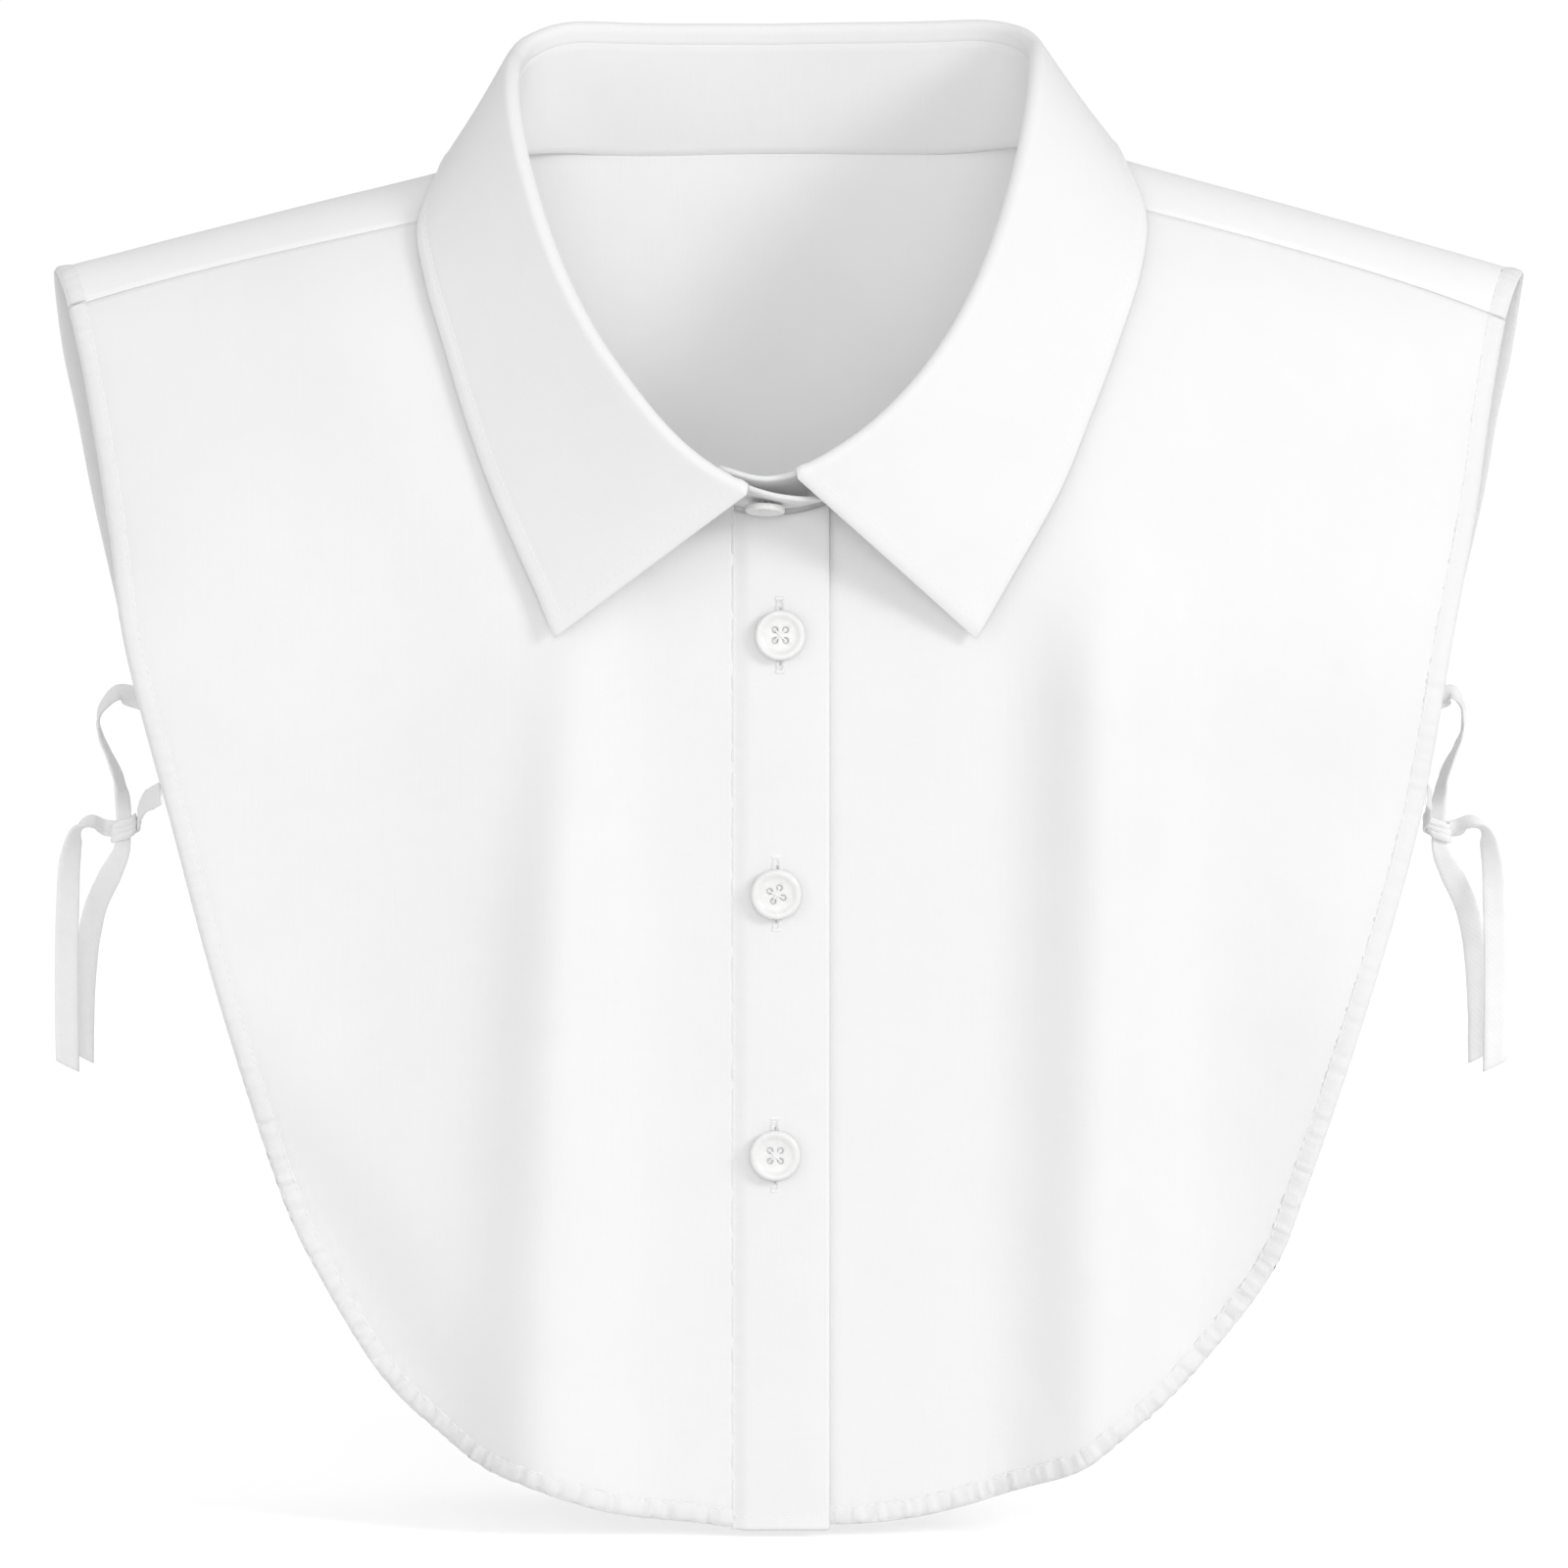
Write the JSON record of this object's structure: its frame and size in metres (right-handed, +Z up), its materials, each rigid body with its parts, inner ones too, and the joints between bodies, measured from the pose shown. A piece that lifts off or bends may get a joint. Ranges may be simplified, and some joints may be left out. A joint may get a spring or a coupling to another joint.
{
  "type": "detachable shirt front with collar and ties",
  "caption": "White sleeveless half shirt front with a turned-down pointed collar, a buttoned placket, rounded hems and knotted tapes at the sides.",
  "frame": {"origin": "middle of the neck opening from side to side, level with the points where the ridges of the shoulders meet the neck", "axes": "+X to the wearer's left, -Y out of the wearer's chest, +Z up"},
  "size_m": [0.3752, 0.1239, 0.3772],
  "materials": {
    "poplin": "matt fine plain weave",
    "tape": "matt folded tape",
    "button_plastic": "satin"
  },
  "bodies": {
    "root": {"over_front": "poplin", "under_front": "poplin", "placket": "poplin", "back_panel": "poplin", "collar_stand": "poplin", "collar_leaf": "poplin", "button_1": "button_plastic", "button_2": "button_plastic", "button_3": "button_plastic", "collar_button": "button_plastic", "tie_back_left": "tape", "tie_front_left": "tape", "tie_back_right": "tape", "tie_front_right": "tape"}
  },
  "joints": []
}
